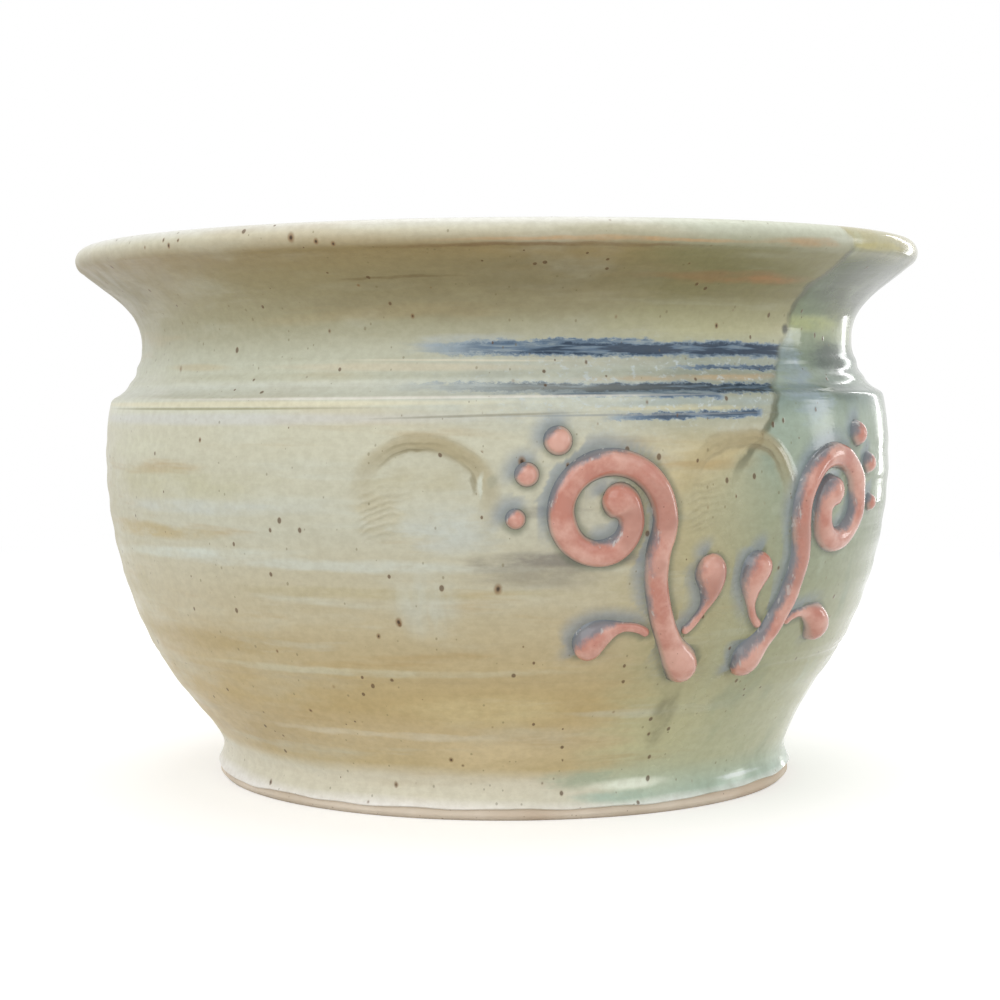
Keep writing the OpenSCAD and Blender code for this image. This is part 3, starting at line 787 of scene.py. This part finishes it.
    # fine grain, then iron specks of three sizes, the largest ones at listed places
    grain = cloud(tree, where, glazeNoise["grain"], 4, 0.65)
    tint = blend(tree, fade(tree, grain, 0.28, 0.72), *outerGlaze["tint"])
    base = blend(tree, 1.0, base, tint, "MULTIPLY")
    stretched = addNode(tree, "Mapping", {"Vector": where, "Scale": (1, 1, 0.7)}).outputs[0]
    dust = freckles(tree, stretched, 620, 0.16, 0.20)
    small = freckles(tree, stretched, 400, 0.13, 0.24)
    base = blend(tree, times(tree, dust, 0.45), base, outerGlaze["dust"])
    base = blend(tree, times(tree, small, 0.55), base, outerGlaze["rust"])
    base = blend(tree, fade(tree, small, 0.6, 1.0, 0.0, 0.5), base, outerGlaze["iron"])
    wobble = addNode(tree, "VectorMath", {0: jitter, 1: (0.0012,) * 3}, operation="MULTIPLY").outputs[0]
    nudged = addNode(tree, "VectorMath", {0: stretched, 1: wobble}, operation="ADD").outputs[0]
    spot = spotGroup()
    for turn, height, radius in outerGlaze["spots"]:
        centre = outsidePoint(math.radians(turn), height / 1000)
        inputs = {"Base": base, "Where": nudged, "Centre": (centre.x, centre.y, 0.7 * centre.z),
                  "Radius": radius / 1000}
        base = addNode(tree, "Group", inputs, node_tree=spot).outputs["Result"]

    mottle = cloud(tree, where, glazeNoise["satin"], 3)
    satin = fade(tree, mottle, 0.3, 0.7, 0.30, 0.42)
    glossy = sums(tree, "MAXIMUM", times(tree, dip, 0.22), times(tree, blue, 0.15))
    roughness = less(tree, satin, glossy)
    ripple = cloud(tree, where, glazeNoise["ripple"], 3)
    peel = cloud(tree, where, glazeNoise["peel"], 2)
    height = timesPlus(tree, ripple, 0.15, times(tree, peel, 0.03))
    height = timesPlus(tree, small, 0.05, height)
    height = timesPlus(tree, blue, 0.05, height)
    joinSurface(tree, shader, base, roughness, sums(tree, "ADD", height, marks), outerGlaze["gloss"])
    return material


def outsidePoint(angle, z):
    # a point on the glazed outside, also on the neck and the lip
    table = sorted((p.y, p.x) for p in outsideSkin)
    r = next((b[1] for a, b in zip(table, table[1:]) if a[0] <= z <= b[0]), table[-1][1])
    return settle(Vector((r * math.sin(angle), -r * math.cos(angle), z)))


innerGlaze = {
    "bands": (
        (0.0095, "b3b8a4"), (0.0150, "c2c5b2"), (0.0300, "c6c6b1"), (0.0600, "c9cab8"), (0.1000, "c6c8b8"),
        (0.1300, "cbcaba"), (0.1440, "cfcdbb"), (0.1490, "dfddd0"),
    ),
    "pool": "9aa891",
    "warm": "b9ab84",
    "light": "d2d5c8",
    "dust": "5c3a1c",
    "gloss": {"IOR": 1.5, "Coat Weight": 0.3, "Coat Roughness": 0.08, "Coat IOR": 1.5},
}


def innerGlazeMaterial():
    material, tree, shader, where = startMaterial("inner_glaze")
    angle, level = wheelPlace(tree, where)
    fine = cloud(tree, where, (30, 30, 170), 3)
    shifted = timesPlus(tree, less(tree, fine, 0.5), 0.004, level)
    base = ladder(tree, shifted, innerGlaze["bands"], glazeTop / 1000)
    runs = cloud(tree, where, (14, 14, 90), 4)
    base = blend(tree, fade(tree, runs, 0.52, 0.72, 0.0, 0.4), base, innerGlaze["warm"])
    base = blend(tree, fade(tree, runs, 0.46, 0.28, 0.0, 0.4), base, innerGlaze["light"])
    flat = fade(tree, level, 0.016, 0.011)
    base = blend(tree, times(tree, flat, fade(tree, cloud(tree, where, 40, 3), 0.4, 0.65)),
                 base, innerGlaze["pool"])
    dust = freckles(tree, where, 420, 0.06, 0.22)
    base = blend(tree, times(tree, dust, 0.7), base, innerGlaze["dust"])
    roughness = fade(tree, cloud(tree, where, 110, 3), 0.3, 0.7, 0.18, 0.30)
    height = times(tree, cloud(tree, where, (30, 30, 260), 3), 0.12)
    joinSurface(tree, shader, base, roughness, height, innerGlaze["gloss"])
    return material


bareClay = {"dark": "dccdb9", "light": "ecdfce", "toast": "d0b499", "grog": "8a6a4c", "iron": "43301f"}


def bareClayMaterial():
    material, tree, shader, where = startMaterial("bare_clay")
    body = cloud(tree, where, 60, 5)
    base = blend(tree, fade(tree, body, 0.3, 0.7), bareClay["dark"], bareClay["light"])
    toast = cloud(tree, where, (22, 22, 140), 3)
    base = blend(tree, fade(tree, toast, 0.5, 0.75, 0.0, 0.5), base, bareClay["toast"])
    grog = freckles(tree, where, 900, 0.2, 0.25)
    base = blend(tree, times(tree, grog, 0.5), base, bareClay["grog"])
    iron = freckles(tree, where, 380, 0.06, 0.2)
    base = blend(tree, times(tree, iron, 0.8), base, bareClay["iron"])
    grain = cloud(tree, where, 900, 3)
    roughness = fade(tree, grain, 0.3, 0.7, 0.72, 0.9)
    turned = cloud(tree, where, (40, 40, 1500), 2)
    height = sums(tree, "ADD", times(tree, grain, 0.08), times(tree, turned, 0.08))
    joinSurface(tree, shader, base, roughness, height)
    return material


slipFinish = {
    "body": "c07d6a",
    "thin": "dca998",
    "dark": "a0604c",
    "edge": "6d7269",
    "veil": "b8aca0",
    "cover": "717b84",
    "scuff": "c6c4bf",
    "pore": "6b3d2c",
    "gloss": {"IOR": 1.5, "Coat Weight": 0.4, "Coat Roughness": 0.06, "Coat IOR": 1.5},
}


def slipMaterial():
    material, tree, shader, where = startMaterial("raised_slip")
    rise = addNode(tree, "Attribute", attribute_name="rise").outputs["Fac"]
    flank = addNode(tree, "Attribute", attribute_name="flank").outputs["Fac"]
    mottle = cloud(tree, where, 120, 4)
    base = blend(tree, fade(tree, mottle, 0.35, 0.65), slipFinish["body"], slipFinish["thin"])
    smoke = cloud(tree, where, 60, 3)
    base = blend(tree, fade(tree, smoke, 0.52, 0.72, 0.0, 0.7), base, slipFinish["dark"])

    # the clear glaze lies thick and grey along the foot of the slip and thin over its crest
    ragged = timesPlus(tree, less(tree, mottle, 0.5), 0.5, rise)
    base = blend(tree, fade(tree, ragged, 0.72, 0.30, 0.0, 0.55), base, slipFinish["veil"])
    base = blend(tree, fade(tree, ragged, 0.34, 0.05, 0.0, 0.9), base, slipFinish["edge"])
    torn = sway(tree, where, (150, 150, 90), 5, 0.7)
    cover = timesPlus(tree, torn, 1.5, flank)
    base = blend(tree, fade(tree, cover, 0.38, 0.85, 0.0, 0.85), base, slipFinish["cover"])
    scuffs = cloud(tree, where, (700, 700, 260), 3)
    scuffs = times(tree, fade(tree, scuffs, 0.60, 0.70), fade(tree, cover, 0.3, 0.6, 0.0, 0.6))
    base = blend(tree, scuffs, base, slipFinish["scuff"])
    pores = freckles(tree, where, 900, 0.08, 0.2)
    base = blend(tree, times(tree, pores, 0.5), base, slipFinish["pore"])
    roughness = fade(tree, mottle, 0.3, 0.7, 0.12, 0.22)
    height = times(tree, cloud(tree, where, 240, 3), 0.14)
    joinSurface(tree, shader, base, roughness, height, slipFinish["gloss"])
    return material


# Raised slip
sprig = {
    "turns": (13.5, 51.5),  # direction of each curl, in degrees right of the front
    "hands": (1, -1),  # the second sprig is the first one turned over
    "curlHeight": 0.079,
    "curlRadius": 0.016,
    "curlEnd": 0.0052,
    "curlFrom": -20,
    "curlSweep": 430,
    "stemStart": (0.026, -0.038),
    "beadWidth": 0.0064,
    "stemFootWidth": 0.009,
    "ballWidth": 0.0088,
    "leafLength": 0.0155,
    "leafHeadWidth": 0.0088,
    "leafTipWidth": 0.0024,
    "leafGap": 0.0016,
    "leafBend": 40,
    "leafTurns": (188, 72),  # direction from a leaf's tip to its head, for the left and the right one
    "dotWidth": 0.0064,
    "dotReach": 0.022,
    "dotTurns": (122, 151, 180),
    "dotShare": 0.84,  # size of each dot as a share of the one above it
    "rise": 0.44,  # height of the slip as a share of its width
    "sink": 0.0002,  # how far its underside lies in the glaze
}
coverSide = Vector((-0.72, 0.69))  # the side of the slip where grey glaze lies over it
slipTrack = []  # places along all the slip, and half its width there, for the halo in the glaze


def aim(degrees):
    return Vector((math.cos(math.radians(degrees)), math.sin(math.radians(degrees))))


def curlAt(t):
    r = sprig["curlRadius"] + (sprig["curlEnd"] - sprig["curlRadius"]) * t
    return r * aim(sprig["curlFrom"] + sprig["curlSweep"] * t)


def stemLine():
    leave, arrive = 0.9 * aim(140), 0.96 * aim(sprig["curlFrom"] + 90)
    return curve(Vector(sprig["stemStart"]), leave, curlAt(0), arrive, 30)


def leafLine(stem, side, turn):
    room = sprig["beadWidth"] / 2 + sprig["leafGap"] + sprig["leafTipWidth"] / 2
    tip = stem[len(stem) * 7 // 20] + Vector((side * room, 0))
    head = tip + sprig["leafLength"] * aim(turn)
    bend = sprig["leafBend"]
    return curve(head, aim(turn + 180 + bend), tip, aim(turn + 180 - bend), 22) + [tip]


def turnedOver(points, hand):
    return [Vector((hand * p.x, p.y)) for p in points]


def layOnWall(bm, turn):
    around = math.radians(turn) * pot["bellyRadius"]
    for vert in bm.verts:
        vert.co = onWall(around + vert.co.x, sprig["curlHeight"] + vert.co.y, vert.co.z)
    bmesh.ops.recalc_face_normals(bm, faces=list(bm.faces))


def trailBead(line, turn, widths, reaches):
    # a bead of slip along a line: its width goes from the first to the second over the first reach,
    # and from the second to the third over the last reach
    w0, w, w1 = widths
    noseSteps = (0.995, 0.94, 0.82, 0.66, 0.46, 0.24)
    u, v = (line[0] - line[1]).normalized(), (line[-1] - line[-2]).normalized()
    path = [line[0] + t * w0 / 2 * u for t in noseSteps] + list(line)
    path += [line[-1] + t * w1 / 2 * v for t in reversed(noseSteps)]
    lengths = [0.0]
    for a, b in zip(path, path[1:]):
        lengths.append(lengths[-1] + (b - a).length)
    full = lengths[-1]

    def halfWidth(s):
        ends = 1.0
        for gone, wide in ((s, w0), (full - s, w1)):
            if gone < wide / 2:
                ends *= math.sqrt(max(0.004, 1 - (1 - 2 * gone / wide) ** 2))
        wide = w + (w0 - w) * (1 - ramp(s, w0 / 2, reaches[0]))
        wide += (w1 - w) * (1 - ramp(full - s, w1 / 2, reaches[1]))
        hand = 1 + 0.05 * noise.noise(Vector((s * 140, turn, w * 900)))
        return ends * wide * hand / 2

    bm = bmesh.new()
    rise = bm.verts.layers.float.new("rise")
    flank = bm.verts.layers.float.new("flank")
    arch = ((1.16, -0.03), (1.04, 0.09), (0.96, 0.26), (0.86, 0.5), (0.68, 0.75), (0.38, 0.94),
            (0.0, 1.0))
    section = list(arch) + [(-x, h) for x, h in reversed(arch[:-1])]
    section += [(-0.55, -0.1), (0.0, -0.1), (0.55, -0.1)]
    verts = []
    for x, h in section:
        vert = bm.verts.new((x, 0, h))
        vert[rise] = max(0.0, h)
        verts.append(vert)
    ring = [bm.edges.new(pair) for pair in zip(verts, verts[1:] + verts[:1])]

    def markFlank(verts, i):
        for vert in verts:
            aside = Vector(vert.co.xy) - path[i]
            vert[flank] = aside.dot(coverSide) / max(halfWidth(lengths[i]), 0.3 * w / 2)

    def stand(i):
        ahead = path[min(i + 1, len(path) - 1)] - path[max(i - 1, 0)]
        half = halfWidth(lengths[i])
        turned = Matrix.Rotation(math.atan2(ahead.y, ahead.x) - math.pi / 2, 4, "Z")
        grown = Matrix.Diagonal((half, half, 2 * half * sprig["rise"] + sprig["sink"], 1))
        return Matrix.Translation((path[i].x, path[i].y, -sprig["sink"])) @ turned @ grown

    bmesh.ops.transform(bm, matrix=stand(0), verts=verts)
    markFlank(verts, 0)
    firstRing = verts
    for i in range(1, len(path)):
        made = bmesh.ops.extrude_edge_only(bm, edges=ring)["geom"]
        verts = [g for g in made if isinstance(g, bmesh.types.BMVert)]
        ring = [g for g in made if isinstance(g, bmesh.types.BMEdge)]
        bmesh.ops.transform(bm, matrix=stand(i) @ stand(i - 1).inverted(), verts=verts)
        markFlank(verts, i)
    for tip, cap in ((path[0], firstRing), (path[-1], verts)):
        bmesh.ops.pointmerge(bm, verts=cap, merge_co=(tip.x, tip.y, 0.0))
    around = math.radians(turn) * pot["bellyRadius"]
    for p, s in zip(path, lengths):
        slipTrack.append((onWall(around + p.x, sprig["curlHeight"] + p.y, 0), halfWidth(s)))
    layOnWall(bm, turn)
    return bm


def slipDot(place, turn, width):
    bm = bmesh.new()
    rise = bm.verts.layers.float.new("rise")
    flank = bm.verts.layers.float.new("flank")
    bmesh.ops.create_uvsphere(bm, u_segments=28, v_segments=18, radius=1.0)
    half = width / 2
    for vert in bm.verts:
        vert[rise] = max(0.0, vert.co.z)
        vert[flank] = Vector(vert.co.xy).dot(coverSide)
        spread = 1 + 0.14 * (1 - ramp(vert.co.z, 0.0, 0.35))
        height = 2 * half * sprig["rise"] * vert.co.z if vert.co.z > 0 else sprig["sink"] * vert.co.z
        wide = half * spread
        vert.co = Vector((place.x + wide * vert.co.x, place.y + wide * vert.co.y, height))
    around = math.radians(turn) * pot["bellyRadius"]
    slipTrack.append((onWall(around + place.x, sprig["curlHeight"] + place.y, 0), half))
    layOnWall(bm, turn)
    return bm


slipPink = slipMaterial()
for i, (turn, hand) in enumerate(zip(sprig["turns"], sprig["hands"])):
    stem = stemLine()
    curl = stem + [curlAt(k / 84) for k in range(85)]
    bead = trailBead(turnedOver(curl, hand), turn,
                     (sprig["stemFootWidth"], sprig["beadWidth"], sprig["ballWidth"]),
                     (1.4 * sprig["stemFootWidth"], 1.2 * sprig["ballWidth"]))
    makePiece(f"trailed_curl_{i + 1}", bead, [f"slip_curl_{i + 1}"], slipPink)
    for k, (side, leafTurn) in enumerate(zip((-1, 1), sprig["leafTurns"])):
        leaf = trailBead(turnedOver(leafLine(stem, side, leafTurn), hand), turn,
                         (sprig["leafHeadWidth"], sprig["leafTipWidth"], sprig["leafTipWidth"]),
                         (sprig["leafLength"], sprig["leafTipWidth"]))
        number = 2 * i + k + 1
        makePiece(f"trailed_leaf_{number}", leaf, [f"slip_leaf_{number}"], slipPink)
    dots = turnedOver([sprig["dotReach"] * aim(a) for a in sprig["dotTurns"]], hand)
    for k, place in enumerate(dots):
        number = 3 * i + k + 1
        drop = slipDot(place, turn, sprig["dotWidth"] * sprig["dotShare"] ** k)
        makePiece(f"slip_drop_{number}", drop, [f"slip_dot_{number}"], slipPink)
print("slip laid")


# Body and glaze coats
# each zone: first degree, last degree, steps
wheelZones = ((-65, -24, 46), (-24, 50, 196), (50, 65, 18), (65, 295, 100))
bodyZones = ((-65, 65, 130), (65, 295, 104))
haloReach = 0.0058


def throwWall(bm):
    # gives a spun wall its rings, presses and lean
    side = bm.verts.layers.float["side"]
    for vert in bm.verts:
        x, y, z = vert.co
        r = math.hypot(x, y)
        if r > 1e-5:
            angle = math.atan2(x, -y)
            if vert[side] > 0.5:
                top = 1 - ramp(z, 0.143, 0.146)
                relief = wallRelief(angle, z) * top + pressRelief(angle, z)
            else:
                level = noise.noise(Vector((x * 9, y * 9, z * 30)))
                deep = ramp(z, 0.012, 0.02) * (1 - ramp(z, 0.13, 0.14))
                relief = thrown["insideRing"] * math.sin(z * 520 + 1.5 * level) * deep
            vert.co.x, vert.co.y = x * (1 + relief / r), y * (1 + relief / r)
        vert.co = settle(vert.co)


def markGlaze(bm):
    # writes how near the slip is, and whether a place lies above it
    slipNear = bm.verts.layers.float.new("slipNear")
    slipAbove = bm.verts.layers.float.new("slipAbove")
    tree = kdtree.KDTree(len(slipTrack))
    for i, (place, half) in enumerate(slipTrack):
        tree.insert(place, i)
    tree.balance()
    for vert in bm.verts:
        if vert.co.x < -0.02 or vert.co.y > 0 or not 0.025 < vert.co.z < 0.112:
            continue
        place, i, away = tree.find(vert.co)
        gap = away - slipTrack[i][1]
        if gap < haloReach:
            vert[slipNear] = 1 - max(0.0, gap) / haloReach
            aside = (vert.co - place).dot(Vector((0.8, 0.6, 0)))
            vert[slipAbove] = ramp((vert.co.z - place.z - aside) / max(away, 1e-6), -0.1, 1.0)


line = [p for p in outsideLine() if p.y > pot["glazeLine"] + 0.0008]
edgeRadius = pot["footRadius"]
glazeEdge = [Vector((edgeRadius, pot["glazeLine"] + 0.0002)),
             Vector((edgeRadius + 0.0003, pot["glazeLine"])),
             Vector((edgeRadius + 0.0006, pot["glazeLine"] + 0.0003))]
bm = bmesh.new()
drawLine(bm, glazeEdge + offset(line, pot["glaze"]) + line[::-4], closed=True)
turnOnWheel(bm, wheelZones)
for vert in bm.verts:  # the coat's lower edge wanders and swells
    if vert.co.z < 0.0075:
        angle = math.atan2(vert.co.x, -vert.co.y)
        near = 1 - ramp(vert.co.z, 0.0042, 0.0075)
        wander = noise.noise(Vector((2.2 * math.sin(angle), 2.2 * math.cos(angle), 0.4)))
        wander += 0.5 * noise.noise(Vector((7 * math.sin(angle), 7 * math.cos(angle), 2.4)))
        vert.co.z += thrown["coatWander"] * wander * near
throwWall(bm)
markGlaze(bm)
makePiece("outer_coat", bm, ["outside_glaze"], outerGlazeMaterial())

inside = insideLine()
insideTop = offset(inside, pot["glaze"])
insideTop[0] = inside[0] + Vector((0, pot["glaze"]))
insideTop[-1] = inside[-1] + Vector((0, pot["glaze"]))
bm = bmesh.new()
drawLine(bm, insideTop + inside[::-1], outside=0.0)
turnOnWheel(bm, wheelZones)
rim = [edge for edge in bm.edges if edge.is_boundary]
bmesh.ops.bridge_loops(bm, edges=rim)
bmesh.ops.recalc_face_normals(bm, faces=list(bm.faces))
throwWall(bm)
makePiece("inner_coat", bm, ["inside_glaze"], innerGlazeMaterial())

ringInner = pot["footRadius"] - pot["footRingWidth"]
underside = [Vector((0, pot["footHollow"])), Vector((ringInner - 0.0008, pot["footHollow"])),
             Vector((ringInner, pot["footHollow"] - 0.0008)), Vector((ringInner, 0.0008)),
             Vector((ringInner + 0.0008, 0))]
bm = bmesh.new()
drawLine(bm, underside, outside=0.0)
lower = list(bm.verts)[-1]
outer = drawLine(bm, outsideLine(), outside=1.0)
inner = drawLine(bm, inside[1:], outside=0.0)
bm.edges.new((lower, outer[0]))
bm.edges.new((outer[-1], inner[0]))
turnOnWheel(bm, bodyZones)
throwWall(bm)
makePiece("thrown_body", bm, ["clay_body"], bareClayMaterial())
print("body thrown and glazed")


# Floor, light and camera
studio = {
    "floorColour": (0.80, 0.80, 0.79, 1),
    "floorGlow": 0.40,  # what lifts the open floor to white for the camera
    "dome": 0.68,
    "lamps": (  # name, place, size, watts
        ("key", (-0.75, -1.05, 1.0), (1.6, 1.4), 7.0),
        ("fill", (1.05, -0.9, 0.55), (0.9, 0.9), 1.8),
        ("top", (0.05, 0.25, 1.2), (1.0, 1.0), 5.0),
        ("window", (1.05, 0.20, 0.20), (0.20, 0.34), 0.7),
        ("edge", (0.62, 0.78, 0.22), (0.05, 0.60), 0.65),
    ),
    "lampsAim": 0.08,  # the height that every lamp points at
    "cameraPlace": (-0.0006, -0.612, 0.1098),
    "cameraPitch": 2.995,  # degrees down
    "lens": 75.5,
}


def backgroundShare(tree):
    # 1 for what the camera sees, straight, in gloss or through glass
    path = addNode(tree, "LightPath")
    seen = sums(tree, "MAXIMUM", path.outputs["Is Camera Ray"], path.outputs["Is Glossy Ray"])
    return sums(tree, "MAXIMUM", seen, path.outputs["Is Transmission Ray"])


def setStudio():
    world = bpy.data.worlds.new("studio")
    bpy.context.scene.world = world
    world.use_nodes = True
    tree = world.node_tree
    strength = timesPlus(tree, backgroundShare(tree), 1 - studio["dome"], studio["dome"])
    tree.links.new(strength, tree.nodes["Background"].inputs["Strength"])
    tree.nodes["Background"].inputs["Color"].default_value = (1, 1, 1, 1)

    for name, place, size, watts in studio["lamps"]:
        light = bpy.data.lights.new(name, "AREA")
        light.shape = "RECTANGLE"
        light.size, light.size_y = size
        light.energy = watts
        lamp = bpy.data.objects.new(name, light)
        lamp.location = place
        toPot = Vector((0, 0, studio["lampsAim"])) - Vector(place)
        lamp.rotation_euler = toPot.to_track_quat("-Z", "Y").to_euler()
        bpy.context.scene.collection.objects.link(lamp)

    bm = bmesh.new()
    bmesh.ops.create_circle(bm, cap_ends=True, segments=96, radius=4.0)
    mesh = bpy.data.meshes.new("floor")
    bm.to_mesh(mesh)
    bm.free()
    material, tree, shader, where = startMaterial("pale_floor")
    shader.inputs["Base Color"].default_value = studio["floorColour"]
    shader.inputs["Roughness"].default_value = 0.9
    shader.inputs["Specular IOR Level"].default_value = 0.1
    seen = backgroundShare(tree)
    glow = addNode(tree, "Emission", {"Strength": times(tree, seen, studio["floorGlow"])})
    lifted = addNode(tree, "AddShader", {0: shader.outputs[0], 1: glow.outputs[0]})
    away = addNode(tree, "VectorMath", {0: where}, operation="LENGTH").outputs["Value"]
    white = addNode(tree, "Emission", {"Strength": 1.0})
    far = times(tree, fade(tree, away, 0.3, 0.9), seen)
    both = addNode(tree, "MixShader", {0: far, 1: lifted.outputs[0], 2: white.outputs[0]})
    tree.links.new(both.outputs[0], tree.nodes["Material Output"].inputs["Surface"])
    mesh.materials.append(material)
    floor = bpy.data.objects.new("floor", mesh)
    bpy.context.scene.collection.objects.link(floor)

    lens = bpy.data.cameras.new("camera")
    lens.lens = studio["lens"]
    lens.sensor_width = 36
    camera = bpy.data.objects.new("camera", lens)
    camera.location = studio["cameraPlace"]
    camera.rotation_euler = (math.radians(90 - studio["cameraPitch"]), 0, 0)
    bpy.context.scene.collection.objects.link(camera)
    bpy.context.scene.camera = camera
    bpy.context.scene.view_settings.view_transform = "Standard"


setStudio()
bpy.context.view_layer.update()
print("scene ready")
